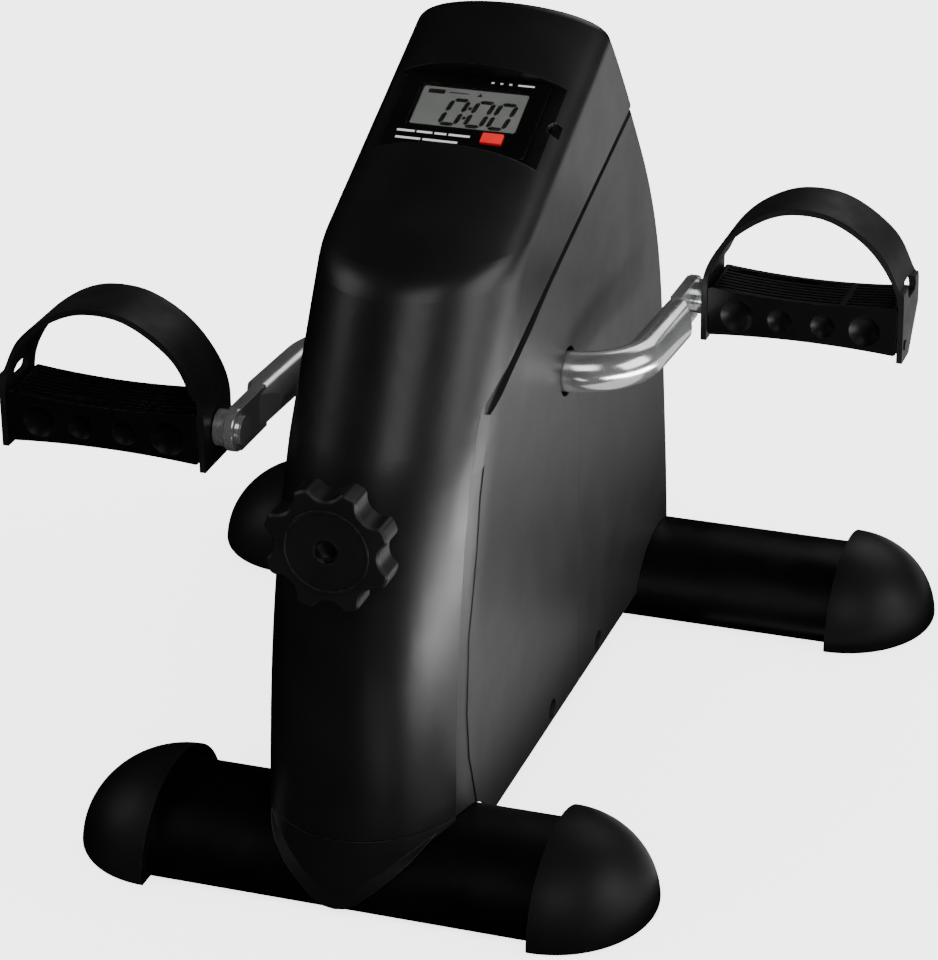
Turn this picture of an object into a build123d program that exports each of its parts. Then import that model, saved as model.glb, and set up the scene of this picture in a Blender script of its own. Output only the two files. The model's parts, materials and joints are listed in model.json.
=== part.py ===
"""Pedal exerciser: two D-section floor beams with domed feet, a hollow housing on a
welded frame, a crank with two strapped pedals, a friction drum whose band is
tightened by a star knob, and a small monitor on the hood.

Millimetres. +Z up, -Y towards the user, +X to the user's right when facing the
monitor. Origin on the floor midway between the two beams.
"""
import math
import os

from build123d import *

os.makedirs("parts", exist_ok=True)

# ---------------------------------------------------------------- dimensions
BEAM_Y = 138.4          # beam axis, in front of and behind the origin
BEAM_HALF = 36.5        # half width of the D section
BEAM_LOW, BEAM_TOP = 2.3, 30.8
FRONT_RIM, REAR_RIM = 80.85, 130.5      # x of the foot caps' rims
CAP_DEPTH, CAP_HALF, CAP_TOP = 40.5, 42.8, 36.8
WALL = 2.5

COVER_W, NOSE_B = 42.0, 48.5            # half width, depth of the elliptic nose
PANEL_W = 41.0
SLOPE = 25.0                            # hood slope
HOOD_Y, HOOD_Z = -101.6, 239.7          # corner between column and hood
NOSE_Y0 = -176.6                        # front of the column at the floor
EYE_T = 5.0                             # thickness of the crank's flat end
SEAM_Z = 33.2                           # joint between column and its foot

CRANK_Z = 166.0                         # crank axis, along X
TUBE_R = 8.6
CRANK_L = 99.4                          # crank axis to pedal axis
CRANK_TILT = 1.2                        # rest angle: right pedal a little low
ARM_X0, ARM_X1 = 66.0, 69.0             # tube centre after the bend and at the eye
BEND_R = 28.0
RUN = 0.05                              # running clearance on radius

PED_C, PED_HALF = 118.5, 41.5           # pedal block: middle and half width
PED_D = 28.0
STRAP_T = 2.6

KNOB_Z, KNOB_Y = 158.6, -174.0
BOSS_END = -153.0                       # knob boss stops clear of the column
BOLT_X = 20.0                           # beam bolts, either side of the middle
TAB_X = 30.0                            # outer face of the frame's housing tabs
MON_Y, MON_Z = -7.0, 276.0              # monitor centre
MON_W, MON_L, MON_T = 61.0, 43.0, 12.0
MON_TILT = 25.0


# ---------------------------------------------------------------- outlines
def nose_path(dy, dz):
    """Front outline of the housing at x=0, moved by dy, dz."""
    t = math.tan(math.radians(SLOPE))
    p = [(NOSE_Y0, 0), (-173.9, 33.0), (-166.0, 96.0), (-149.0, 156.0), (-137.6, 181.0)]
    with BuildLine(mode=Mode.PRIVATE) as path:
        s = Spline(
            [(0, y + dy, z + dz) for y, z in p],
            tangents=[(0, 0.09, 1), (0, 0.523, 0.852)],
        )
        corner = (0, HOOD_Y + dy, HOOD_Z + dz)
        top = (0, 66.0 + dy, HOOD_Z + (66.0 - HOOD_Y) * t + dz)
        FilletPolyline(s @ 1, corner, top, radius=24)
    return path.wire()


def d_profile(a, b, y0, z0):
    """Horizontal section: half ellipse in front, straight sides behind."""
    with BuildSketch(Plane.XY.offset(z0)) as s:
        with BuildLine():
            e = EllipticalCenterArc((0, y0 + b), a, b, start_angle=180, arc_size=180)
            Polyline(e @ 1, (a, y0 + b + 400), (-a, y0 + b + 400), e @ 0)
        make_face()
    return s.sketch


REAR = [(20.0, 334.0), (72.0, 278.0), (99.0, 242.0), (123.0, 206.0), (141.0, 161.5),
        (148.0, 120.0), (151.5, 90.0), (155.0, 62.0), (158.0, 27.0), (159.4, 0.0)]


def rear_profile(dy, dz, low):
    """Side outline of the housing, closed in front and above the nose."""
    with BuildSketch(Plane.YZ.offset(-80)) as s:
        with BuildLine():
            r = Spline([(y + dy, z + dz) for y, z in REAR])
            Polyline(r @ 1, (REAR[-1][0] + dy, low), (-260, low), (-260, 380),
                     (REAR[0][0] + dy, 380), r @ 0)
        make_face()
    return s.sketch


def body_solid(a, b, dy, dz, low, ry, rz, rad):
    """Housing body: the nose section carried up the outline, cut by the rear outline."""
    with BuildPart(mode=Mode.PRIVATE) as p:
        path = nose_path(dy, dz)
        sweep(d_profile(a, b, NOSE_Y0 + dy, dz), path=path, normal=(0, 0, 1))
        with BuildPart(mode=Mode.PRIVATE) as side:
            extrude(rear_profile(ry, rz, low), amount=160)
        add(side.part, mode=Mode.INTERSECT)
        rear = p.edges().filter_by(
            lambda e: (e @ 0.5).Y > 40 and e.geom_type == GeomType.BSPLINE)
        fillet(rear, radius=rad)
    return p.part


def beam_face(y, grow, x):
    """D section of a floor beam on a plane across X, enlarged by grow."""
    with BuildSketch(Plane.YZ.offset(x)) as s:
        with BuildLine():
            e = EllipticalCenterArc(
                (y, BEAM_LOW), BEAM_HALF + grow, BEAM_TOP - BEAM_LOW + grow,
                start_angle=0, arc_size=180)
            Line(e @ 1, e @ 0)
        make_face()
    return s.sketch



def yz_face(points, x):
    """Polygon given as (y, z) on a plane across X."""
    with BuildSketch(Plane.YZ.offset(x)) as s:
        with BuildLine():
            Polyline(*points, close=True)
        make_face()
    return s.sketch


def yz_prism(points, x0, x1):
    with BuildPart(mode=Mode.PRIVATE) as p:
        extrude(yz_face(points, x0), amount=x1 - x0)
    return p.part


def save(part, name):
    part.label = name
    export_step(part, f"parts/{name}.step")


# ---------------------------------------------------------------- housing bodies
outer = body_solid(COVER_W, NOSE_B, 0, 0, -12, 0, 0, 6)
inner = body_solid(COVER_W - WALL, NOSE_B - WALL, 2.2, -1.8, -14, -2.4, -0.8, 4)
panel_outer = body_solid(PANEL_W, NOSE_B, 1.0, 0, -12, 0, 0, 5.6)

# Shadow channel between the cover and the side panels: its edge on the cover and its
# edge on the panel, from the floor up the column, round the corner and along the hood.
EDGE_COVER = [(-142.2, 27.0), (-141.6, 35.0), (-139.6, 63.0), (-137.2, 83.0),
              (-131.6, 115.0), (-125.1, 141.0), (-116.5, 166.5), (-107.3, 184.3),
              (-103.1, 190.7), (-97.2, 194.6), (-87.4, 199.4), (-60.4, 208.2),
              (-20.0, 220.7), (50.0, 241.7), (140.0, 269.7)]
EDGE_PANEL = [(-117.0, 20.0), (-121.6, 30.2), (-128.4, 52.0), (-129.2, 71.7),
              (-125.2, 103.7), (-115.1, 136.5), (-109.5, 157.5), (-102.9, 173.5),
              (-99.7, 180.6), (-96.2, 187.4), (-87.5, 190.6), (-75.6, 195.0),
              (-47.5, 203.9), (-25.0, 212.8), (45.0, 234.6), (140.0, 263.5)]
CHANNEL_D, GROOVE_X = 1.6, 38.4         # channel depth on the column, floor on the hood

# Frame of the monitor's face: u along X, v up the slope, w out of the face.
mon = Plane(origin=(0, MON_Y, MON_Z), x_dir=(1, 0, 0),
            z_dir=(0, -math.sin(math.radians(MON_TILT)), math.cos(math.radians(MON_TILT))))


def mon_box(u, v0, v1, w0, w1, uc=0.0, r=0.0):
    """Box in the monitor's frame, u wide, with rounded corners of radius r."""
    with BuildPart(mode=Mode.PRIVATE) as p:
        with BuildSketch(mon.offset(w0)) as s:
            with Locations((uc, (v0 + v1) / 2)):
                if r:
                    RectangleRounded(u, v1 - v0, r)
                else:
                    Rectangle(u, v1 - v0)
        extrude(amount=w1 - w0)
    return p.part


def rod_x(x0, x1, r, y, z):
    with BuildPart(mode=Mode.PRIVATE) as p:
        with BuildSketch(Plane.YZ.offset(x0)) as s:
            with Locations((y, z)):
                Circle(r)
        extrude(amount=x1 - x0)
    return p.part


def rod_y(y0, y1, r, x, z, hexagon=False):
    with BuildPart(mode=Mode.PRIVATE) as p:
        with BuildSketch(Plane.XZ.offset(-y0)) as s:
            with Locations((x, z)):
                if hexagon:
                    RegularPolygon(r, 6)
                else:
                    Circle(r)
        extrude(amount=-(y1 - y0))
    return p.part


FAR = 400.0
cover_zone = yz_prism(
    [(-FAR, SEAM_Z)] + [(-142.0, SEAM_Z)] + EDGE_COVER[1:]
    + [(FAR, 269.7 + 0.311 * (FAR - 140.0)), (FAR, FAR), (-FAR, FAR)], -60, 60)

with BuildPart() as front_cover:
    add(outer)
    add(inner, mode=Mode.SUBTRACT)
    # floor and walls of the monitor tray
    with BuildPart(mode=Mode.PRIVATE) as tray:
        add(outer)
        add(mon_box(100, -25.6, 24.6, -5.5, 30), mode=Mode.INTERSECT)
    add(tray.part)
    add(cover_zone, mode=Mode.INTERSECT)
    add(mon_box(100, -23.6, 22.5, -3.0, 40), mode=Mode.SUBTRACT)
    add(mon_box(57.4, -19.7, 19.7, -20, 0), mode=Mode.SUBTRACT)
    with BuildPart(mode=Mode.PRIVATE) as finger:
        with BuildSketch(mon.offset(-6)) as s:
            with Locations((37.6, 0.5)):
                Circle(3.6)
        extrude(amount=12)
    add(finger.part, mode=Mode.SUBTRACT)
    # hole for the tension rod
    add(rod_y(-170, -120, 6.0, 0, KNOB_Z), mode=Mode.SUBTRACT)
save(front_cover.part, "front_cover")

# ---------------------------------------------------------------- side shells
channel_zone = yz_prism(
    [(-160.0, 5.0)] + [(-160.0, 27.0)] + EDGE_COVER[1:]
    + [(FAR, 269.7 + 0.311 * (FAR - 140.0)), (FAR, 263.5 + 0.304 * (FAR - 140.0))]
    + list(reversed(EDGE_PANEL)) + [(-117.0, 5.0)], -60, 60)
groove_zone = yz_prism(
    EDGE_COVER[8:]
    + [(FAR, 269.7 + 0.311 * (FAR - 140.0)), (FAR, 263.5 + 0.304 * (FAR - 140.0))]
    + list(reversed(EDGE_PANEL[9:])), -60, 60)
shell_zone = yz_prism(
    [(-141.5, 11.0)] + [(y + 0.4, z) for y, z in EDGE_COVER[1:9]]
    + [(y, z - 0.3) for y, z in EDGE_COVER[9:]]
    + [(FAR, 269.7 + 0.311 * (FAR - 140.0) - 0.3), (FAR, 12.5), (-101.0, 12.5),
       (-101.0, 15.5), (-112.0, 15.5), (-112.0, 11.0)], -60, 60)


def beam_solid(y, grow, half):
    with BuildPart(mode=Mode.PRIVATE) as p:
        extrude(beam_face(y, grow, -half), amount=2 * half)
    return p.part


SCREWS = [(-21.4, 17.9), (44.5, 17.9)]

channel_floor = body_solid(COVER_W - CHANNEL_D, NOSE_B - CHANNEL_D, 1.4, -1.1, -13,
                           -1.6, -0.5, 4.6)

with BuildPart(mode=Mode.PRIVATE) as shell_all:
    add(panel_outer)
    with BuildPart(mode=Mode.PRIVATE) as channel:
        add(channel_zone)
        add(channel_floor, mode=Mode.SUBTRACT)
    add(channel.part, mode=Mode.SUBTRACT)
    add(inner, mode=Mode.SUBTRACT)
    # backing behind the deep groove of the hood
    for side in (-1, 1):
        a, b = sorted((side * (GROOVE_X - 2.0), side * 39.9))
        with BuildPart(mode=Mode.PRIVATE) as back:
            add(yz_prism([(y, z + 1.0) for y, z in EDGE_COVER[6:]]
                         + [(y, z - 4.0) for y, z in reversed(EDGE_PANEL[7:])], a, b))
            add(panel_outer, mode=Mode.INTERSECT)
        add(back.part)
    add(shell_zone, mode=Mode.INTERSECT)
    for side in (-1, 1):
        x0, x1 = sorted((side * GROOVE_X, side * 50))
        with BuildPart(mode=Mode.PRIVATE) as cut:
            add(groove_zone)
            with BuildPart(mode=Mode.PRIVATE) as slab:
                with BuildSketch(Plane.YZ.offset(x0)) as s:
                    Rectangle(1000, 1000)
                extrude(amount=x1 - x0)
            add(slab.part, mode=Mode.INTERSECT)
        add(cut.part, mode=Mode.SUBTRACT)
        # fine joint line from the crank opening down to the bottom edge
        add(yz_prism([(16.8, 0), (17.3, 0), (17.3, 151), (16.8, 151)],
                     *sorted((side * (PANEL_W - 0.5), side * 50))), mode=Mode.SUBTRACT)
    add(beam_solid(-BEAM_Y, 0.4, 60), mode=Mode.SUBTRACT)
    add(beam_solid(BEAM_Y, 0.4, 60), mode=Mode.SUBTRACT)
    add(rod_x(-60, 60, 10.6, 0, CRANK_Z), mode=Mode.SUBTRACT)
    for y, z in SCREWS:
        for side in (-1, 1):
            a, b = sorted((side * (TAB_X + 0.1), side * (PANEL_W - 0.4)))
            add(rod_x(a, b, 6.2, y, z + 0.9))
            a, b = sorted((side * 34.0, side * 50))
            add(rod_x(a, b, 4.7, y, z), mode=Mode.SUBTRACT)
            a, b = sorted((side * (TAB_X - 1), side * 50))
            add(rod_x(a, b, 2.0, y, z), mode=Mode.SUBTRACT)

for side, name in ((1, "right_side_shell"), (-1, "left_side_shell")):
    with BuildPart() as shell:
        add(shell_all.part)
        with BuildPart(mode=Mode.PRIVATE) as half:
            with BuildSketch(Plane.YZ.offset(0.1 * side)) as s:
                Rectangle(1000, 1000)
            extrude(amount=60 * side)
        add(half.part, mode=Mode.INTERSECT)
    save(shell.part, name)

with BuildPart() as housing_screws:
    for y, z in SCREWS:
        for side in (-1, 1):
            a, b = sorted((side * 34.0, side * 36.4))
            c, d = sorted((side * 25.0, side * 34.0))
            with BuildPart(mode=Mode.PRIVATE) as one:
                add(rod_x(a, b, 3.8, y, z))
                add(rod_x(c, d, 1.9, y, z))
                with BuildSketch(Plane.YZ.offset(side * 36.4)) as s:
                    with Locations((y, z)):
                        Rectangle(4.2, 0.9)
                        Rectangle(0.9, 4.2)
                extrude(amount=-1.4 * side, mode=Mode.SUBTRACT)
            add(one.part)
save(housing_screws.part, "housing_screws")

# ---------------------------------------------------------------- column foot
# Rounded tongue over the front of the beam: half of its outline as (x, z).
TONGUE = [(0, 2.6), (4.5, 3.3), (9.5, 6.2), (14.8, 10.7), (22.5, 17.2), (28.9, 23.4),
          (34.3, 29.5), (37.0, 33.0)]


def xz_prism(points, y0, y1):
    with BuildPart(mode=Mode.PRIVATE) as p:
        with BuildSketch(Plane.XZ.offset(-y0)) as s:
            with BuildLine():
                Polyline(*points, close=True)
            make_face()
        extrude(amount=-(y1 - y0))
    return p.part


def mirrored(points):
    return points + [(-x, z) for x, z in reversed(points) if x > 0]


with BuildPart() as column_foot:
    add(outer)
    # lower edge of the nose, rounded
    add(xz_prism(mirrored(TONGUE[:3] + [(13.4, 9.5), (60, 9.5), (60, 60)]), -220, -100),
        mode=Mode.INTERSECT)
    with BuildPart(mode=Mode.PRIVATE) as tongue:
        add(beam_solid(-BEAM_Y, 1.7, 60))
        add(xz_prism(mirrored(TONGUE), -220, -142), mode=Mode.INTERSECT)
    add(tongue.part)
    add(yz_prism([(-FAR, 2.5), (-142.0, 2.5), (-142.0, SEAM_Z - 0.4),
                  (-FAR, SEAM_Z - 0.4)], -60, 60), mode=Mode.INTERSECT)
    add(inner, mode=Mode.SUBTRACT)
    add(beam_solid(-BEAM_Y, 0.05, 60), mode=Mode.SUBTRACT)
save(column_foot.part, "column_foot")

# ---------------------------------------------------------------- floor beams
for y, rim, name in ((-BEAM_Y, FRONT_RIM, "front_beam"), (BEAM_Y, REAR_RIM, "rear_beam")):
    with BuildPart() as beam:
        extrude(beam_face(y, 0, -rim - 18), amount=2 * rim + 36)
        # hollow D tube, 2 mm wall
        with BuildSketch(Plane.YZ.offset(-rim - 20)) as s:
            with BuildLine():
                e = EllipticalCenterArc((y, BEAM_LOW + 2), BEAM_HALF - 2.4,
                                        BEAM_TOP - BEAM_LOW - 4, start_angle=0, arc_size=180)
                Line(e @ 1, e @ 0)
            make_face()
        extrude(amount=2 * rim + 40, mode=Mode.SUBTRACT)
        with Locations(Location((BOLT_X, y, 0)), Location((-BOLT_X, y, 0))):
            Cylinder(3.2, 100, mode=Mode.SUBTRACT)
    save(beam.part, name)

# ---------------------------------------------------------------- foot caps
for y, rim, where in ((-BEAM_Y, FRONT_RIM, "front"), (BEAM_Y, REAR_RIM, "rear")):
    for side, hand in ((1, "right"), (-1, "left")):
        with BuildPart() as cap:
            with BuildSketch(Plane.YZ.offset(0)) as s:
                with BuildLine():
                    e = EllipticalCenterArc((0, 0), CAP_DEPTH, CAP_TOP, start_angle=-8,
                                            arc_size=98)
                    Polyline(e @ 1, (0, (e @ 0).Y), e @ 0)
                make_face()
            # quarter ellipse turned about the vertical axis, then widened to CAP_HALF
            revolve(axis=Axis.Z, revolution_arc=360)
            dome = scale(cap.part, by=(1, CAP_HALF / CAP_DEPTH, 1), mode=Mode.PRIVATE)
        with BuildPart() as cap:
            add(dome)
            with BuildSketch(Plane.YZ) as s:
                Rectangle(400, 400)
            extrude(amount=-100, mode=Mode.SUBTRACT)
            with BuildSketch(Plane.XY) as s:
                Rectangle(400, 400)
            extrude(amount=-50, mode=Mode.SUBTRACT)
            # rounded lower edge all round the dome
            low = cap.edges().filter_by(
                lambda e: abs(e.center().Z) < 0.01 and (e @ 0.5).X > 1)
            fillet(low, radius=2.2)
            # socket for the beam end
            with BuildSketch(Plane.YZ.offset(-1)) as s:
                with BuildLine():
                    e = EllipticalCenterArc((0, BEAM_LOW), BEAM_HALF + 0.15,
                                            BEAM_TOP - BEAM_LOW + 0.15,
                                            start_angle=0, arc_size=180)
                    Line(e @ 1, e @ 0)
                make_face()
            extrude(amount=19.2, mode=Mode.SUBTRACT)
        placed = cap.part if side == 1 else mirror(cap.part, about=Plane.YZ)
        placed = Pos(side * rim, y, 0) * placed
        save(placed, f"{where}_{hand}_foot_cap")

# ---------------------------------------------------------------- welded frame
BASE_Z = BEAM_TOP + 0.0
UP_X = 27.0
with BuildPart() as main_frame:
    with BuildSketch(Plane.XY.offset(BASE_Z)) as s:
        with Locations((0, -1)):
            Rectangle(60, 298)
    extrude(amount=3.2)
    for side in (-1, 1):
        x0 = UP_X if side == 1 else -UP_X - 3
        add(yz_prism([(-148, BASE_Z), (146, BASE_Z), (146, 46), (62, 46), (20, 186),
                      (-20, 186), (-62, 46), (-148, 46)], x0, x0 + 3))
        # tabs that the housing screws go into
        for ty, tz in SCREWS:
            add(yz_prism([(ty - 7, tz - 4.9), (ty + 7, tz - 4.9), (ty + 7, 40), (ty - 7, 40)],
                         x0, x0 + 3))
    # flat bar that carries the tension rod
    with BuildSketch(Plane.XY.offset(BASE_Z + 3.2)) as s:
        with Locations((0, -108)):
            Rectangle(20, 8)
    extrude(amount=174 - BASE_Z - 3.2)
    add(rod_x(-60, 60, 12.0, 0, CRANK_Z), mode=Mode.SUBTRACT)
    add(rod_y(-130, -90, 3.4, 0, KNOB_Z), mode=Mode.SUBTRACT)
    for ty, tz in SCREWS:
        add(rod_x(-60, 60, 1.95, ty, tz), mode=Mode.SUBTRACT)
    for y in (-BEAM_Y, BEAM_Y):
        with Locations(Location((BOLT_X, y, 0)), Location((-BOLT_X, y, 0))):
            Cylinder(3.2, 100, mode=Mode.SUBTRACT)
save(main_frame.part, "main_frame")

with BuildPart() as beam_bolts:
    for y in (-BEAM_Y, BEAM_Y):
        for x in (-BOLT_X, BOLT_X):
            # low round head under the beam, shank through it, nut on the plate
            with BuildSketch(Plane.XY.offset(0.7)) as s:
                with Locations((x, y)):
                    Circle(6.2)
            extrude(amount=BEAM_LOW - 0.7)
            with BuildSketch(Plane.XY.offset(BEAM_LOW)) as s:
                with Locations((x, y)):
                    Circle(3.0)
            extrude(amount=BASE_Z + 3.2 + 5.6 - BEAM_LOW)
            with BuildSketch(Plane.XY.offset(BASE_Z + 3.2)) as s:
                with Locations((x, y)):
                    RegularPolygon(5.6, 6)
            extrude(amount=4)
save(beam_bolts.part, "beam_bolts")

for side, name in ((1, "right_bearing"), (-1, "left_bearing")):
    with BuildPart() as bush:
        a, b = sorted((side * (UP_X - 1.0), side * (UP_X + 3)))
        add(rod_x(a, b, 12.0, 0, CRANK_Z))
        a, b = sorted((side * (UP_X - 4.0), side * UP_X))
        add(rod_x(a, b, 15.0, 0, CRANK_Z))
        add(rod_x(-60, 60, TUBE_R + RUN, 0, CRANK_Z), mode=Mode.SUBTRACT)
    save(bush.part, name)

# ---------------------------------------------------------------- crank
tilt = math.radians(CRANK_TILT)
crank_turn = Location((0, 0, CRANK_Z)) * Location((0, 0, 0), (-CRANK_TILT, 0, 0))


def arm_part(side):
    """One crank half: tube from the hub, bend, arm pressed flat round the eye."""
    with BuildPart(mode=Mode.PRIVATE) as arm:
        with BuildLine() as path:
            start = (side * 1.0, 0, 0)
            corner = (side * ARM_X0, 0, 0)
            end = (side * ARM_X1, side * 84.0, 0)
            FilletPolyline(start, corner, end, radius=BEND_R)
        with BuildSketch(Plane(origin=start, x_dir=(0, 1, 0), z_dir=(side, 0, 0))) as s:
            Circle(TUBE_R)
        sweep(path=path.wire())
        # flat end: outer side of the tube pressed away from y = 66
        a, b = sorted((side * ARM_X1, side * (ARM_X1 + 20)))
        with BuildPart(mode=Mode.PRIVATE) as press:
            with BuildSketch(Plane.XY.offset(-20)) as s:
                with BuildLine():
                    Polyline((side * (ARM_X1 + 20), side * 60), (side * (ARM_X1 + 9), side * 60),
                             (side * ARM_X1, side * 74), (side * ARM_X1, side * 120),
                             (side * (ARM_X1 + 20), side * 120), close=True)
                make_face()
            extrude(amount=40)
        add(press.part, mode=Mode.SUBTRACT)
        with BuildPart(mode=Mode.PRIVATE) as press_in:
            with BuildSketch(Plane.XY.offset(-20)) as s:
                with BuildLine():
                    Polyline((side * (ARM_X1 - 20), side * 62), (side * (ARM_X1 - 9), side * 66),
                             (side * (ARM_X1 - EYE_T), side * 80),
                             (side * (ARM_X1 - EYE_T), side * 120),
                             (side * (ARM_X1 - 20), side * 120), close=True)
                make_face()
            extrude(amount=40)
        add(press_in.part, mode=Mode.SUBTRACT)
        # eye plate
        a, b = sorted((side * (ARM_X1 - EYE_T), side * ARM_X1))
        with BuildPart(mode=Mode.PRIVATE) as eye:
            with BuildSketch(Plane.YZ.offset(a)) as s:
                with Locations((side * 86, 0)):
                    Rectangle(27, 18.0)
                with Locations((side * CRANK_L, 0)):
                    Circle(9.0)
            extrude(amount=b - a)
            fillet(eye.edges().filter_by(GeomType.CIRCLE), radius=1.2)
        add(eye.part)
        add(rod_x(a - 5, b + 5, 4.5, side * CRANK_L, 0), mode=Mode.SUBTRACT)
    return arm.part


for side, name in ((1, "right_crank"), (-1, "left_crank")):
    save(crank_turn * arm_part(side), name)


def spindle_part(side):
    """Pedal spindle: riveted stem in the eye, hexagon collar, shaft, threaded end."""
    x_eye0, x_eye1 = ARM_X1 - EYE_T, ARM_X1
    with BuildPart(mode=Mode.PRIVATE) as p:
        def rod(x0, x1, r):
            a, b = sorted((side * x0, side * x1))
            add(rod_x(a, b, r, side * CRANK_L, 0))
        rod(x_eye0 - 1.2, x_eye1, 4.5)
        rod(x_eye0 - 1.8, x_eye0, 6.0)
        rod(x_eye1, x_eye1 + 4.6, 7.6)
        rod(x_eye1 + 4.6, 152.5, 5.0)
        rod(152.5, 158.6, 3.9)
    return p.part


for side, name in ((1, "right_spindle"), (-1, "left_spindle")):
    save(crank_turn * spindle_part(side), name)
for side, name in ((1, "right_spindle_nut"), (-1, "left_spindle_nut")):
    with BuildPart() as nut:
        a, b = sorted((side * 153.4, side * 158.2))
        with BuildSketch(Plane.YZ.offset(a)) as s:
            with Locations((side * CRANK_L, 0)):
                RegularPolygon(6.6, 6)
                Circle(3.9, mode=Mode.SUBTRACT)
        extrude(amount=b - a)
    save(crank_turn * nut.part, name)

with BuildPart() as friction_drum:
    add(rod_x(-6, 6, 50, 0, CRANK_Z))
    add(rod_x(-20, 20, 14, 0, CRANK_Z))
    add(rod_x(-21, 21, TUBE_R, 0, CRANK_Z), mode=Mode.SUBTRACT)
    for side in (-1, 1):
        with BuildSketch(Plane.XY.offset(CRANK_Z - 20)) as s:
            with Locations((side * 14, 0)):
                Circle(2.0)
        extrude(amount=40, mode=Mode.SUBTRACT)
save(friction_drum.part, "friction_drum")

# ---------------------------------------------------------------- brake
with BuildPart() as brake_band:
    with BuildSketch(Plane.YZ.offset(-6)) as s:
        with Locations((0, CRANK_Z)):
            Circle(52.0)
            Circle(50.4, mode=Mode.SUBTRACT)
        with Locations((-60, CRANK_Z - 8)):
            Rectangle(30, 18, mode=Mode.SUBTRACT)
        with Locations((-76.0, CRANK_Z - 17.0)):
            Rectangle(56.0, 1.6)
        with Locations((-62.9, CRANK_Z + 0.4)):
            Rectangle(24.6, 1.6)
    extrude(amount=12)
save(brake_band.part, "brake_band")

BLOCK_Y0, BLOCK_Y1 = -91.0, -75.6
with BuildPart() as tension_block:
    with BuildSketch(Plane.XY.offset(152)) as s:
        with Locations((0, (BLOCK_Y0 + BLOCK_Y1) / 2)):
            RectangleRounded(20, BLOCK_Y1 - BLOCK_Y0, 2)
    extrude(amount=16)
    add(rod_y(-100, -60, 3.05, 0, KNOB_Z), mode=Mode.SUBTRACT)
save(tension_block.part, "tension_block")

with BuildPart() as tension_rod:
    add(rod_y(KNOB_Y + 6.0, -70.0, 3.0, 0, KNOB_Z))
    add(rod_y(KNOB_Y + 3.0, KNOB_Y + 6.0, 4.4, 0, KNOB_Z, hexagon=True))
save(tension_rod.part, "tension_rod")

# ---------------------------------------------------------------- knob
with BuildPart() as tension_knob:
    with BuildSketch(Plane.XZ.offset(-KNOB_Y)) as s:
        with Locations((0, KNOB_Z)):
            Circle(26.0)
            with PolarLocations(28.6, 8, start_angle=0.0):
                Circle(7.4, mode=Mode.SUBTRACT)
        fillet(s.vertices(), radius=2.6)
    extrude(amount=-13)
    chamfer(tension_knob.faces().sort_by(Axis.Y)[0].edges(), length=0.9)
    chamfer(tension_knob.faces().sort_by(Axis.Y)[-1].edges(), length=0.9)
    # boss towards the column
    add(rod_y(KNOB_Y + 13, BOSS_END, 11.0, 0, KNOB_Z))
    # thin raised ring and centre recess on the front
    with BuildSketch(Plane.XZ.offset(-KNOB_Y)) as s:
        with Locations((0, KNOB_Z)):
            Circle(17.4)
            Circle(16.4, mode=Mode.SUBTRACT)
    extrude(amount=0.5)
    add(rod_y(KNOB_Y - 2, KNOB_Y + 3.0, 4.9, 0, KNOB_Z), mode=Mode.SUBTRACT)
    add(rod_y(KNOB_Y + 2.9, KNOB_Y + 6.0, 4.4, 0, KNOB_Z, hexagon=True), mode=Mode.SUBTRACT)
    add(rod_y(KNOB_Y + 5.9, -150.0, 3.0, 0, KNOB_Z), mode=Mode.SUBTRACT)
save(tension_knob.part, "tension_knob")

# ---------------------------------------------------------------- monitor
with BuildPart() as monitor_case:
    add(mon_box(MON_W, -MON_L / 2, MON_L / 2, -2.95, 0, r=2.0))
    add(mon_box(56.6, -19.3, 19.3, -14.0, -2.9, r=1.5))
    # hollow behind the face
    add(mon_box(53.0, -17.0, 17.0, -14.1, -1.9), mode=Mode.SUBTRACT)
    # display opening with a shallow rebate, and the button opening
    add(mon_box(47.4, -8.3, 16.3, -0.5, 1, uc=0.3, r=1.6), mode=Mode.SUBTRACT)
    add(mon_box(45.0, -7.1, 15.1, -3, 1, uc=0.3, r=1.0), mode=Mode.SUBTRACT)
    add(mon_box(9.4, -15.3, -9.3, -3, 1, uc=14.9, r=0.8), mode=Mode.SUBTRACT)
save(monitor_case.part, "monitor_case")

with BuildPart() as monitor_back:
    add(mon_box(52.8, -16.8, 16.8, -14.0, -12.6))
    # posts that hold the board
    for u in (-23.6, 23.6):
        for v in (-14.4, 14.4):
            add(mon_box(3.2, v - 1.6, v + 1.6, -12.6, -6.4, uc=u))
save(monitor_back.part, "monitor_back")

with BuildPart() as display_window:
    add(mon_box(47.2, -8.2, 16.2, -0.5, -0.1, uc=0.3, r=1.5))
save(display_window.part, "display_window")

with BuildPart() as lcd_panel:
    add(mon_box(44.8, -7.0, 15.0, -3.4, -0.8, uc=0.3, r=1.0))
    # contact strips between the glass and the board
    add(mon_box(42.0, -6.2, -4.2, -4.8, -3.4, uc=0.3))
    add(mon_box(42.0, 12.2, 14.2, -4.8, -3.4, uc=0.3))
save(lcd_panel.part, "lcd_panel")

with BuildPart() as circuit_board:
    add(mon_box(51.0, -16.4, 16.4, -6.4, -4.8))
save(circuit_board.part, "circuit_board")

with BuildPart() as battery:
    with BuildSketch(mon.offset(-10.6)) as s:
        with Locations((-8, 4)):
            Circle(5.8)
    extrude(amount=4.2)
save(battery.part, "button_cell")

with BuildPart() as mode_button:
    add(mon_box(9.0, -15.1, -9.5, -2.0, 1.0, uc=14.9, r=0.7))
    fillet(mode_button.faces().sort_by(Axis(mon.origin, mon.z_dir))[-1].edges(), radius=0.3)
    add(mon_box(10.6, -15.9, -8.7, -3.0, -2.0, uc=14.9))
save(mode_button.part, "mode_button")

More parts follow.
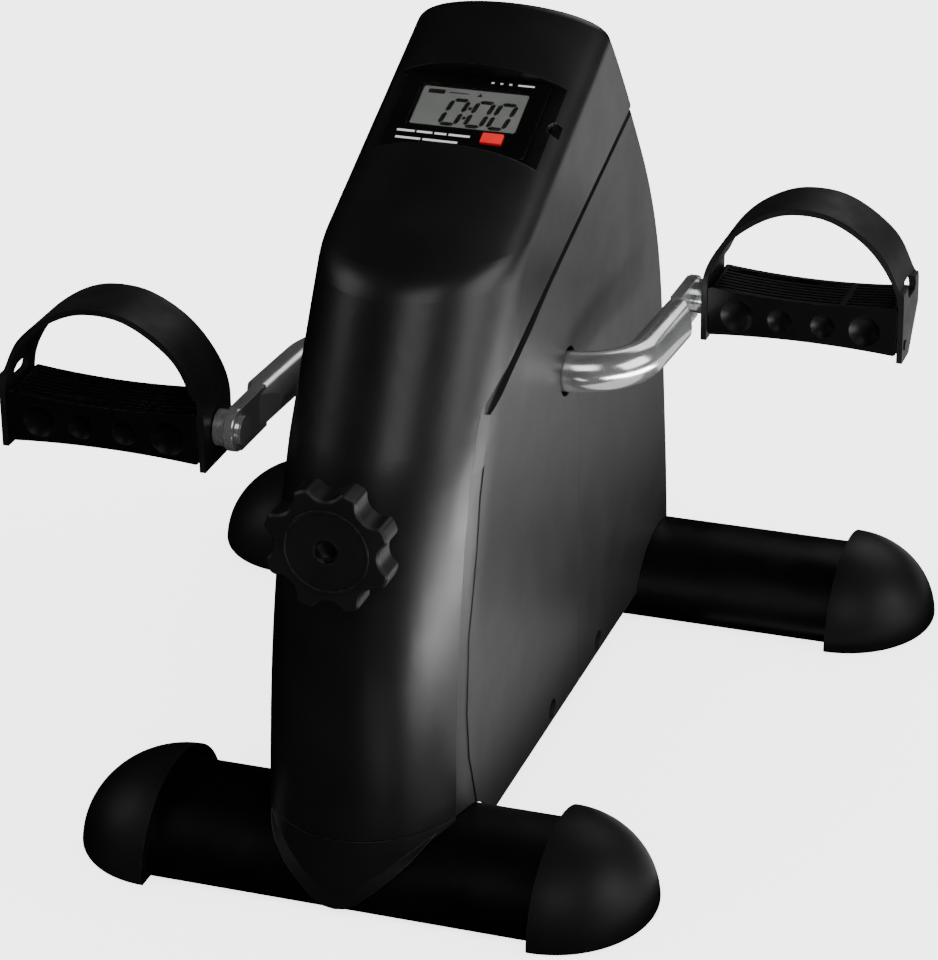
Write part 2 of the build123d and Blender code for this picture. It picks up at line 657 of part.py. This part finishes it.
# ---------------------------------------------------------------- speed sensor
SENSOR_Y, SENSOR_Z = -26.0, 140.0
with BuildPart() as speed_sensor:
    with BuildSketch(Plane.YZ.offset(11.5)) as s:
        with Locations((SENSOR_Y, SENSOR_Z)):
            Rectangle(7, 12)
    extrude(amount=UP_X - 11.5)
save(speed_sensor.part, "speed_sensor")
with BuildPart() as drum_magnet:
    add(rod_x(6.0, 9.0, 3.5, SENSOR_Y, SENSOR_Z))
save(drum_magnet.part, "drum_magnet")

# ---------------------------------------------------------------- pedals
PED_TOP_END, PED_TOP_MID = 10.8, 8.4
PED_LOW_END, PED_LOW_MID = -11.4, -9.6


def pedal_block(side, yc, zc):
    def X(x):
        return side * (PED_C + x)
    h = PED_HALF
    with BuildPart(mode=Mode.PRIVATE) as p:
        with BuildSketch(Plane.XZ.offset(-(yc - PED_D / 2))) as s:
            with BuildLine():
                top = ThreePointArc((X(-h), zc + PED_TOP_END), (X(0), zc + PED_TOP_MID),
                                    (X(h), zc + PED_TOP_END))
                r = Line(top @ 1, (X(h), zc + PED_LOW_END))
                low = ThreePointArc(r @ 1, (X(0), zc + PED_LOW_MID), (X(-h), zc + PED_LOW_END))
                Line(low @ 1, top @ 0)
            make_face()
        extrude(amount=-PED_D)
        fillet(p.edges().filter_by(Axis.Y), radius=1.6)
        # tread: grooves along the block, broken by one land
        if side == 1:
            runs = ((-h + 2.6, 16.0), (18.4, h - 2.6))
        else:
            runs = ((-h + 2.6, -18.4), (-16.0, h - 2.6))
        for x0, x1 in runs:
            for i in range(8):
                y0 = yc - 11.4 + i * 3.05
                with BuildSketch(Plane.XZ.offset(-y0)) as s:
                    with BuildLine():
                        def zt(x):
                            k = (x / h) ** 2
                            return zc + PED_TOP_MID + (PED_TOP_END - PED_TOP_MID) * k - 1.3
                        xm = (x0 + x1) / 2
                        a = ThreePointArc((X(x0), zt(x0)), (X(xm), zt(xm)), (X(x1), zt(x1)))
                        Polyline(a @ 1, (X(x1), zc + 20), (X(x0), zc + 20), a @ 0)
                    make_face()
                extrude(amount=-1.5, mode=Mode.SUBTRACT)
        # round finger dimples in both long faces
        for x, rr, dd in ((-28.4, 7.2, 3.0), (-9.6, 5.3, 2.4), (9.4, 5.3, 2.4), (27.6, 6.8, 3.0)):
            ball = (rr * rr + dd * dd) / (2 * dd)
            for f in (-1, 1):
                with Locations(Location((X(x), yc + f * (PED_D / 2 + ball - dd), zc - 1.4))):
                    Sphere(ball, mode=Mode.SUBTRACT)
        a, b = sorted((X(-h - 1), X(h + 1)))
        add(rod_x(a, b, 5.0 + RUN, yc, zc), mode=Mode.SUBTRACT)
        a, b = sorted((X(33.2), X(h + 1)))
        add(rod_x(a, b, 8.2, yc, zc), mode=Mode.SUBTRACT)
        # peg for the strap at the outer end
        a, b = sorted((X(h - 0.5), X(h + 3.6)))
        with BuildPart(mode=Mode.PRIVATE) as peg:
            add(rod_x(a, b, 2.2, yc - 10.2, zc - 7.0))
        add(peg.part)
    return p.part


def strap_outline():
    """Outer line of the strap from the middle of the arch down the outer leg."""
    pts = [(0.0, 50.6), (9.0, 49.7), (19.0, 45.8), (29.0, 38.9), (37.5, 28.8),
           (43.0, 17.6), (44.4, 8.0), (44.4, -14.2)]
    return pts


def strap_part(side, yc, zc):
    def X(x):
        return side * (PED_C + x)
    pts = strap_outline()
    n = len(pts)

    def inset(t):
        out = []
        for i, (x, z) in enumerate(pts):
            a = pts[max(i - 1, 0)]
            b = pts[min(i + 1, n - 1)]
            dx, dz = b[0] - a[0], b[1] - a[1]
            if i == 0:
                dx, dz = 1.0, 0.0
            if i >= n - 2:
                dx, dz = 0.0, -1.0
            length = math.hypot(dx, dz)
            out.append((x + dz / length * t, z - dx / length * t))
        return out
    inn = inset(STRAP_T)
    width = PED_D + 0.6
    with BuildPart(mode=Mode.PRIVATE) as p:
        with BuildSketch(Plane.XZ.offset(-(yc - width / 2))) as s:
            with BuildLine():
                up = [(X(-x), zc + z) for x, z in reversed(pts[:-1])] + \
                     [(X(x), zc + z) for x, z in pts[1:-1]]
                o = Spline(up, tangents=[(0, 1), (0, -1)])
                dn = [(X(x), zc + z) for x, z in reversed(inn[:-1])] + \
                     [(X(-x), zc + z) for x, z in inn[1:-1]]
                i = Spline(dn, tangents=[(0, 1), (0, -1)])
                Polyline(o @ 1, (X(pts[-1][0]), zc + pts[-1][1]),
                         (X(inn[-1][0]), zc + inn[-1][1]), i @ 0)
                Polyline(i @ 1, (X(-inn[-1][0]), zc + inn[-1][1]),
                         (X(-pts[-1][0]), zc + pts[-1][1]), o @ 0)
            make_face()
        extrude(amount=-width)
        # outer leg: adjustment window, peg hole and a tapered tail
        a, b = sorted((X(30), X(60)))
        with BuildPart(mode=Mode.PRIVATE) as cut:
            with BuildSketch(Plane.YZ.offset(a)) as s:
                with Locations((yc + 1.0, zc + 15.6)):
                    SlotOverall(15.0, 7.0)
                with Locations((yc - 10.2, zc - 7.0)):
                    Circle(2.25)
                with BuildLine():
                    Polyline((yc + 20, zc + 4), (yc + 20, zc - 20), (yc - 2, zc - 20),
                             (yc - 2, zc - 15.0), (yc + 14.4, zc + 4), close=True)
                make_face()
            extrude(amount=b - a)
        add(cut.part, mode=Mode.SUBTRACT)
        # inner leg: round hole for the spindle
        a, b = sorted((X(-60), X(-30)))
        add(rod_x(a, b, 6.4, yc, zc), mode=Mode.SUBTRACT)
    return p.part


for side, hand in ((1, "right"), (-1, "left")):
    yc = side * CRANK_L * math.cos(tilt)
    zc = CRANK_Z - side * CRANK_L * math.sin(tilt)
    save(pedal_block(side, yc, zc), f"{hand}_pedal_block")
    save(strap_part(side, yc, zc), f"{hand}_foot_strap")
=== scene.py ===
import json
import math

import bpy
from mathutils import Matrix, Vector


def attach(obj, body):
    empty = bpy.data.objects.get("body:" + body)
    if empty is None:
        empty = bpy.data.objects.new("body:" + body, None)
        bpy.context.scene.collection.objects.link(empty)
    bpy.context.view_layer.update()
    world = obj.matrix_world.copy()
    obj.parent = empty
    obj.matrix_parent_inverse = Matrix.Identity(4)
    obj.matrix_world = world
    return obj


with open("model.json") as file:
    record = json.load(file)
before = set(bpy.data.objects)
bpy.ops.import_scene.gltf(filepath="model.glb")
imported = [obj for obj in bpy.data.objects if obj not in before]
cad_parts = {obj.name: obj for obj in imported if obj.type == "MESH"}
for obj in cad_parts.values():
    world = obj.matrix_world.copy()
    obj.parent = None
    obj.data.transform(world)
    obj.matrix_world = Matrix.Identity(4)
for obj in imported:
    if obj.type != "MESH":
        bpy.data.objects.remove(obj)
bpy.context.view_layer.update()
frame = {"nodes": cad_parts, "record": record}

scene = bpy.context.scene


def mm(*v):
    return Vector(v) / 1000.0


# ------------------------------------------------------------------ camera
az, el, roll = math.radians(19.19), math.radians(25.30), math.radians(-0.69)
back = Vector((math.sin(az) * math.cos(el), -math.cos(az) * math.cos(el), math.sin(el)))
right = Vector((math.cos(az), math.sin(az), 0.0))
up = back.cross(right)
cam_x = math.cos(roll) * right + math.sin(roll) * up
cam_y = -math.sin(roll) * right + math.cos(roll) * up
place = mm(-2.86, 0.0, 109.96) + back * 1.5598
cam_data = bpy.data.cameras.new("camera")
cam_data.sensor_width = 36.0
cam_data.lens = 3684.88 / 960.0 * 36.0
cam_data.clip_start, cam_data.clip_end = 0.05, 50.0
cam = bpy.data.objects.new("camera", cam_data)
cam.matrix_world = Matrix((
    (cam_x.x, cam_y.x, back.x, place.x),
    (cam_x.y, cam_y.y, back.y, place.y),
    (cam_x.z, cam_y.z, back.z, place.z),
    (0, 0, 0, 1)))
scene.collection.objects.link(cam)
scene.camera = cam


# ------------------------------------------------------------------ studio
def area(name, where, at, size, power, size_y=None, colour=(1, 1, 1)):
    data = bpy.data.lights.new(name, "AREA")
    data.energy = power
    data.color = colour
    data.shape = "RECTANGLE"
    data.size = size
    data.size_y = size_y or size
    ob = bpy.data.objects.new(name, data)
    ob.location = where
    ob.rotation_euler = (Vector(at) - Vector(where)).to_track_quat("-Z", "Y").to_euler()
    ob.visible_camera = False
    scene.collection.objects.link(ob)
    return ob


area("light_right", (1.7, 0.1, 0.9), (0.0, 0.0, 0.15), 1.3, 13.0, 1.0)
area("light_front", (0.6, -1.5, 1.7), (0.0, -0.1, 0.05), 1.1, 10.0)
area("light_left", (-1.7, -0.4, 1.3), (0.0, 0.0, 0.1), 1.0, 6.0)
area("light_back", (0.4, 1.9, 1.5), (0.0, 0.3, 0.0), 1.2, 8.0)
# low panels lying on the floor, facing up: they lift the right-hand faces from below
area("low_right", (0.60, -0.06, 0.004), (0.60, -0.06, 1.0), 0.44, 15.0, 0.66)
area("low_back", (0.62, 0.72, 0.004), (0.62, 0.72, 1.0), 1.0, 2.4, 1.0)
area("low_side", (0.20, -0.01, 0.004), (0.20, -0.01, 1.0), 0.26, 0.13, 0.2)
area("low_front", (0.15, -0.50, 0.004), (0.15, -0.50, 1.0), 0.05, 0.14, 0.4)

world = bpy.data.worlds.new("studio")
world.use_nodes = True
bg = world.node_tree.nodes["Background"]
bg.inputs["Color"].default_value = (1.0, 1.0, 1.0, 1)
bg.inputs["Strength"].default_value = 1.12
scene.world = world
world.cycles_visibility.glossy = False


# ------------------------------------------------------------------ materials
class Mat:
    """A node material on object coordinates, in metres."""

    def __init__(self, name):
        self.m = bpy.data.materials.new(name)
        self.m.use_nodes = True
        self.t = self.m.node_tree
        self.t.nodes.clear()
        self.out = self.add("ShaderNodeOutputMaterial")
        self.bsdf = self.add("ShaderNodeBsdfPrincipled")
        self.link(self.bsdf.outputs["BSDF"], self.out.inputs["Surface"])
        self.co = self.add("ShaderNodeTexCoord").outputs["Object"]
        self.normal = None

    def add(self, kind, **attrs):
        n = self.t.nodes.new(kind)
        for k, v in attrs.items():
            setattr(n, k, v)
        return n

    def link(self, a, b):
        self.t.links.new(a, b)

    def noise(self, scale, detail=3.0, rough=0.55, stretch=None):
        n = self.add("ShaderNodeTexNoise")
        n.inputs["Scale"].default_value = scale
        n.inputs["Detail"].default_value = detail
        n.inputs["Roughness"].default_value = rough
        co = self.co
        if stretch:
            mp = self.add("ShaderNodeMapping")
            mp.inputs["Scale"].default_value = stretch
            self.link(co, mp.inputs["Vector"])
            co = mp.outputs["Vector"]
        self.link(co, n.inputs["Vector"])
        return n.outputs["Fac"]

    def span(self, fac, a, b, lo=0.35, hi=0.65):
        """fac, from lo to hi, mapped to a..b."""
        r = self.add("ShaderNodeMapRange")
        r.inputs["From Min"].default_value, r.inputs["From Max"].default_value = lo, hi
        r.inputs["To Min"].default_value, r.inputs["To Max"].default_value = a, b
        self.link(fac, r.inputs["Value"])
        return r.outputs["Result"]

    def bump(self, fac, depth, strength=1.0):
        b = self.add("ShaderNodeBump")
        b.inputs["Strength"].default_value = strength
        b.inputs["Distance"].default_value = depth
        self.link(fac, b.inputs["Height"])
        if self.normal is not None:
            self.link(self.normal, b.inputs["Normal"])
        self.normal = b.outputs["Normal"]

    def edges(self, radius):
        """How far a point is on an edge, 0..1, from the difference of the rounded normal."""
        bev = self.add("ShaderNodeBevel", samples=4)
        bev.inputs["Radius"].default_value = radius
        geo = self.add("ShaderNodeNewGeometry")
        dot = self.add("ShaderNodeVectorMath", operation="DOT_PRODUCT")
        self.link(bev.outputs["Normal"], dot.inputs[0])
        self.link(geo.outputs["Normal"], dot.inputs[1])
        return self.span(dot.outputs["Value"], 1.0, 0.0, 0.86, 0.995)

    def soften(self, radius):
        bev = self.add("ShaderNodeBevel", samples=4)
        bev.inputs["Radius"].default_value = radius
        self.normal = bev.outputs["Normal"]

    def mix(self, fac, a, b):
        n = self.add("ShaderNodeMix", data_type="RGBA")
        self.link(fac, n.inputs["Factor"])
        for sock, c in ((n.inputs["A"], a), (n.inputs["B"], b)):
            if isinstance(c, tuple):
                sock.default_value = (*c, 1)
            else:
                self.link(c, sock)
        return n.outputs["Result"]

    def done(self, base=None, rough=None):
        for name, v in (("Base Color", base), ("Roughness", rough)):
            if v is None:
                continue
            s = self.bsdf.inputs[name]
            if isinstance(v, tuple):
                s.default_value = (*v, 1)
            elif isinstance(v, float):
                s.default_value = v
            else:
                self.link(v, s)
        if self.normal is not None:
            self.link(self.normal, self.bsdf.inputs["Normal"])
        return self.m


def plastic(name, dark, light, r0, r1, grain=2400.0, depth=0.00002, soft=0.0004, wear=(0.03, 0.03, 0.031), spec=0.5):
    m = Mat(name)
    m.soften(soft)
    m.bump(m.noise(grain, 2.0), depth, 0.55)
    m.bump(m.noise(95.0, 2.0), 0.00002, 0.2)
    cloud = m.noise(26.0, 4.0)
    base = m.mix(m.span(cloud, 0.0, 1.0), dark, light)
    scuff = m.span(m.noise(420.0, 5.0, 0.7), 0.0, 1.0, 0.45, 0.75)
    edge = m.add("ShaderNodeMath", operation="MULTIPLY")
    m.link(m.edges(soft * 1.6), edge.inputs[0])
    m.link(scuff, edge.inputs[1])
    base = m.mix(edge.outputs["Value"], base, wear)
    m.bsdf.inputs["Specular IOR Level"].default_value = spec
    return m.done(base, m.span(m.noise(48.0, 5.0, 0.6), r0, r1))


def metal(name, dark, light, r0, r1, brush=None, depth=0.00001, soft=0.0003, metallic=1.0):
    m = Mat(name)
    m.soften(soft)
    m.bsdf.inputs["Metallic"].default_value = metallic
    grain = m.noise(900.0, 3.0, 0.6, stretch=brush)
    m.bump(grain, depth, 0.4)
    base = m.mix(m.span(m.noise(70.0, 4.0), 0.0, 1.0), dark, light)
    return m.done(base, m.span(m.noise(130.0, 6.0, 0.65, stretch=brush), r0, r1))


M = {
    "housing_black": plastic("housing_black", (0.0030, 0.0030, 0.0032), (0.0042, 0.0042, 0.0045), 0.33, 0.38),
    # housing_panel is the housing's black plastic with a lighter base colour: painted light for the side panels'
    # grey sheen under the right-hand light
    "housing_panel": plastic("housing_panel", (0.010, 0.010, 0.0105), (0.013, 0.013, 0.0137), 0.42, 0.47),
    "cap_black": plastic("cap_black", (0.0028, 0.0028, 0.0030), (0.0042, 0.0042, 0.0045), 0.42, 0.50,
                         spec=0.2),
    "knob_black": plastic("knob_black", (0.0035, 0.0035, 0.0037), (0.0055, 0.0055, 0.0058), 0.40, 0.48,
                          spec=0.4),
    "pedal_black": plastic("pedal_black", (0.0012, 0.0012, 0.0013), (0.0022, 0.0022, 0.0024), 0.38, 0.46,
                           spec=0.16),
    "bezel_black": plastic("bezel_black", (0.0016, 0.0016, 0.0018), (0.0026, 0.0026, 0.0028), 0.28, 0.34,
                           depth=0.000008, soft=0.0003, spec=0.2),
    "bush_nylon": plastic("bush_nylon", (0.66, 0.64, 0.58), (0.74, 0.72, 0.66), 0.42, 0.52,
                          wear=(0.6, 0.58, 0.53)),
    "crank_chrome": metal("crank_chrome", (0.66, 0.665, 0.675), (0.76, 0.765, 0.77), 0.15, 0.22, depth=0.000003,
                          metallic=0.90),
    "zinc_steel": metal("zinc_steel", (0.42, 0.42, 0.41), (0.58, 0.58, 0.56), 0.26, 0.40),
    "drum_iron": metal("drum_iron", (0.20, 0.20, 0.20), (0.33, 0.32, 0.31), 0.34, 0.50, brush=(1.0, 0.2, 0.2)),
    "band_steel": metal("band_steel", (0.36, 0.36, 0.35), (0.5, 0.5, 0.49), 0.26, 0.40, brush=(0.15, 1.0, 1.0)),
    "cell_steel": metal("cell_steel", (0.6, 0.6, 0.6), (0.72, 0.72, 0.71), 0.18, 0.3),
    "magnet_grey": plastic("magnet_grey", (0.05, 0.05, 0.052), (0.08, 0.08, 0.08), 0.5, 0.7,
                           wear=(0.12, 0.12, 0.12)),
}


def coat(name, dark, light, r0, r1, spec=0.5):
    """Semi-gloss powder coat with a fine orange peel."""
    m = Mat(name)
    m.soften(0.0004)
    m.bump(m.noise(700.0, 2.0), 0.00004, 0.45)
    m.bsdf.inputs["Specular IOR Level"].default_value = spec
    base = m.mix(m.span(m.noise(40.0, 4.0), 0.0, 1.0), dark, light)
    return m.done(base, m.span(m.noise(60.0, 4.0), r0, r1))


M["beam_black"] = coat("beam_black", (0.0005, 0.0005, 0.0006), (0.0011, 0.0011, 0.0012), 0.30, 0.38, spec=0.3)
M["frame_steel"] = coat("frame_steel", (0.012, 0.012, 0.0125), (0.018, 0.018, 0.0185), 0.36, 0.50)


def rubber(name, dark, light):
    m = Mat(name)
    m.soften(0.0004)
    m.bump(m.noise(1700.0, 3.0), 0.00003, 0.5)
    # fine moulding lines along the band
    m.bump(m.noise(900.0, 2.0, 0.5, stretch=(1.0, 0.08, 1.0)), 0.00002, 0.3)
    base = m.mix(m.span(m.noise(55.0, 5.0), 0.0, 1.0), dark, light)
    m.bsdf.inputs["Specular IOR Level"].default_value = 0.2
    m.bsdf.inputs["Sheen Weight"].default_value = 0.01
    m.bsdf.inputs["Sheen Roughness"].default_value = 0.45
    return m.done(base, m.span(m.noise(85.0, 5.0), 0.44, 0.58))


M["strap_rubber"] = rubber("strap_rubber", (0.0035, 0.0035, 0.0037), (0.0060, 0.0060, 0.0063))


def soft_red(name):
    m = Mat(name)
    m.soften(0.0003)
    m.bump(m.noise(1500.0, 2.0), 0.00002, 0.4)
    base = m.mix(m.span(m.noise(160.0, 3.0), 0.0, 1.0), (0.66, 0.002, 0.004), (0.76, 0.004, 0.006))
    m.bsdf.inputs["Specular IOR Level"].default_value = 0.25
    return m.done(base, m.span(m.noise(200.0, 3.0), 0.38, 0.5))


def lcd(name):
    """Reflective display: grey green with a very fine vertical rubbing."""
    m = Mat(name)
    m.bump(m.noise(2600.0, 1.0, 0.5, stretch=(1.0, 0.1, 0.1)), 0.000006, 0.3)
    base = m.mix(m.span(m.noise(60.0, 3.0), 0.0, 1.0), (0.128, 0.134, 0.124), (0.148, 0.155, 0.144))
    return m.done(base, m.span(m.noise(300.0, 2.0), 0.34, 0.44))


def glass(name):
    m = Mat(name)
    m.bump(m.noise(120.0, 2.0), 0.00001, 0.1)
    m.bsdf.inputs["Alpha"].default_value = 0.08
    base = m.mix(m.span(m.noise(90.0, 3.0), 0.0, 1.0), (0.02, 0.022, 0.021), (0.03, 0.032, 0.03))
    return m.done(base, m.span(m.noise(260.0, 5.0), 0.08, 0.16))


def board(name):
    m = Mat(name)
    m.bump(m.noise(1400.0, 2.0), 0.00002, 0.4)
    track = m.add("ShaderNodeTexVoronoi", feature="DISTANCE_TO_EDGE")
    track.inputs["Scale"].default_value = 260.0
    m.link(m.co, track.inputs["Vector"])
    base = m.mix(m.span(track.outputs["Distance"], 1.0, 0.0, 0.02, 0.06), (0.02, 0.11, 0.045), (0.05, 0.2, 0.08))
    return m.done(base, m.span(m.noise(200.0, 3.0), 0.25, 0.38))


M["button_red"] = soft_red("button_red")
M["lcd_grey"] = lcd("lcd_grey")
M["display_clear"] = glass("display_clear")
M["board_green"] = board("board_green")

slot_of = {s["node"]: s["material_slot"] for s in frame["record"]["subparts"]}
for name, ob in frame["nodes"].items():
    ob.data.materials.clear()
    ob.data.materials.append(M[slot_of[name]])
    for poly in ob.data.polygons:
        poly.material_index = 0

# ------------------------------------------------------------------ monitor details
TILT = math.radians(25.0)
mon_o = mm(0, -7, 276)
mon_v = Vector((0, math.cos(TILT), math.sin(TILT)))
mon_w = Vector((0, -math.sin(TILT), math.cos(TILT)))


def on_face(u, v, w=0.0):
    return mon_o + Vector((u, 0, 0)) / 1000 + mon_v * (v / 1000) + mon_w * (w / 1000)


def flat_shapes(name, shapes, w0, w1, material, body="root"):
    """Thin raised outlines (lists of (u, v)) on the monitor's face, as one closed mesh each."""
    verts, faces = [], []
    for pts in shapes:
        n, k = len(pts), len(verts)
        verts += [on_face(u, v, w0) for u, v in pts] + [on_face(u, v, w1) for u, v in pts]
        faces.append([k + i for i in reversed(range(n))])
        faces.append([k + n + i for i in range(n)])
        faces += [[k + i, k + (i + 1) % n, k + n + (i + 1) % n, k + n + i] for i in range(n)]
    me = bpy.data.meshes.new(name)
    me.from_pydata(verts, [], faces)
    me.update()
    me.materials.append(material)
    ob = bpy.data.objects.new(name, me)
    scene.collection.objects.link(ob)
    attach(ob, body)
    return ob


def segment(cx, cy, length, thick, upright):
    h, t = length / 2, thick / 2
    pts = [(-h, 0), (-h + t, -t), (h - t, -t), (h, 0), (h - t, t), (-h + t, t)]
    if upright:
        pts = [(-y, x) for x, y in pts]
    return [(cx + x, cy + y) for x, y in pts]


LEAN = 0.17
DIG_W, DIG_H, DIG_T = 6.6, 14.0, 2.0
V0 = -5.4


def lean(pts):
    return [(u + LEAN * (v - V0), v) for u, v in pts]


def zero(u0):
    """The six outer bars of a seven-bar nought."""
    w, h, t = DIG_W, DIG_H / 2, DIG_T
    g = 0.28
    bars = [segment(u0 + w / 2, V0, w - 2 * g, t, False),
            segment(u0 + w / 2, V0 + 2 * h, w - 2 * g, t, False)]
    for u in (u0, u0 + w):
        for k in (0, 1):
            bars.append(segment(u, V0 + h * (k + 0.5), h - 2 * g, t, True))
    return [lean(b) for b in bars]


def box_shape(u0, u1, v0, v1):
    return [(u0, v0), (u1, v0), (u1, v1), (u0, v1)]


ink = Mat("lcd_ink")
ink_m = ink.done(ink.mix(ink.span(ink.noise(500.0, 2.0), 0.0, 1.0), (0.004, 0.0045, 0.0045), (0.008, 0.0085, 0.008)),
                 ink.span(ink.noise(400.0, 2.0), 0.35, 0.5))
digits = zero(-10.0) + zero(0.8) + zero(10.4)
for v in (V0 + 4.2, V0 + 9.8):
    digits.append(lean(box_shape(-1.95, -0.55, v - 0.8, v + 0.8)))
flat_shapes("display_digits", digits, -0.79, -0.76, ink_m)

# plain indicator row: a filled bar, an open bar and a pointer
row = [box_shape(-19.6, -12.6, 11.2, 13.6), box_shape(-10.8, -2.4, 12.2, 12.7),
       [(1.2, 11.5), (3.6, 11.5), (2.4, 13.3)]]
flat_shapes("display_indicators", row, -0.79, -0.76, ink_m)

paint = Mat("white_print")
paint.bump(paint.noise(2200.0, 2.0), 0.00001, 0.4)
paint_m = paint.done(
    paint.mix(paint.span(paint.noise(700.0, 4.0), 0.0, 1.0), (0.60, 0.60, 0.60), (0.74, 0.74, 0.73)),
    paint.span(paint.noise(300.0, 2.0), 0.4, 0.55))


def dashes(u, v, lengths, gap=1.0, high=1.0):
    out = []
    for n in lengths:
        out.append(box_shape(u, u + n, v - high / 2, v + high / 2))
        u += n + gap
    return out


marks = dashes(5.2, 19.4, [1.2, 1.2, 1.2, 6.9], 2.6, 0.9)
marks += dashes(-25.5, -12.0, [7.5, 6.5, 5.0, 8.9], 1.0, 1.1)
marks += dashes(-25.0, -16.0, [10.6, 14.7], 1.0, 1.1)
flat_shapes("bezel_marks", marks, -0.01, 0.03, paint_m)

# ------------------------------------------------------------------ floor
fm = Mat("floor")
fm.bump(fm.noise(60.0, 3.0), 0.0001, 0.1)
fm.bsdf.inputs["Emission Color"].default_value = (1.0, 1.0, 1.0, 1)
fm.bsdf.inputs["Emission Strength"].default_value = 3.0
floor_m = fm.done(fm.mix(fm.span(fm.noise(1.6, 3.0), 0.0, 1.0), (0.86, 0.86, 0.86), (0.885, 0.885, 0.885)), 0.75)
me = bpy.data.meshes.new("floor")
me.from_pydata([(-40, -40, 0), (40, -40, 0), (40, 40, 0), (-40, 40, 0)], [], [(0, 1, 2, 3)])
me.materials.append(floor_m)
floor = bpy.data.objects.new("floor", me)
scene.collection.objects.link(floor)
floor.visible_glossy = False
floor.visible_diffuse = False
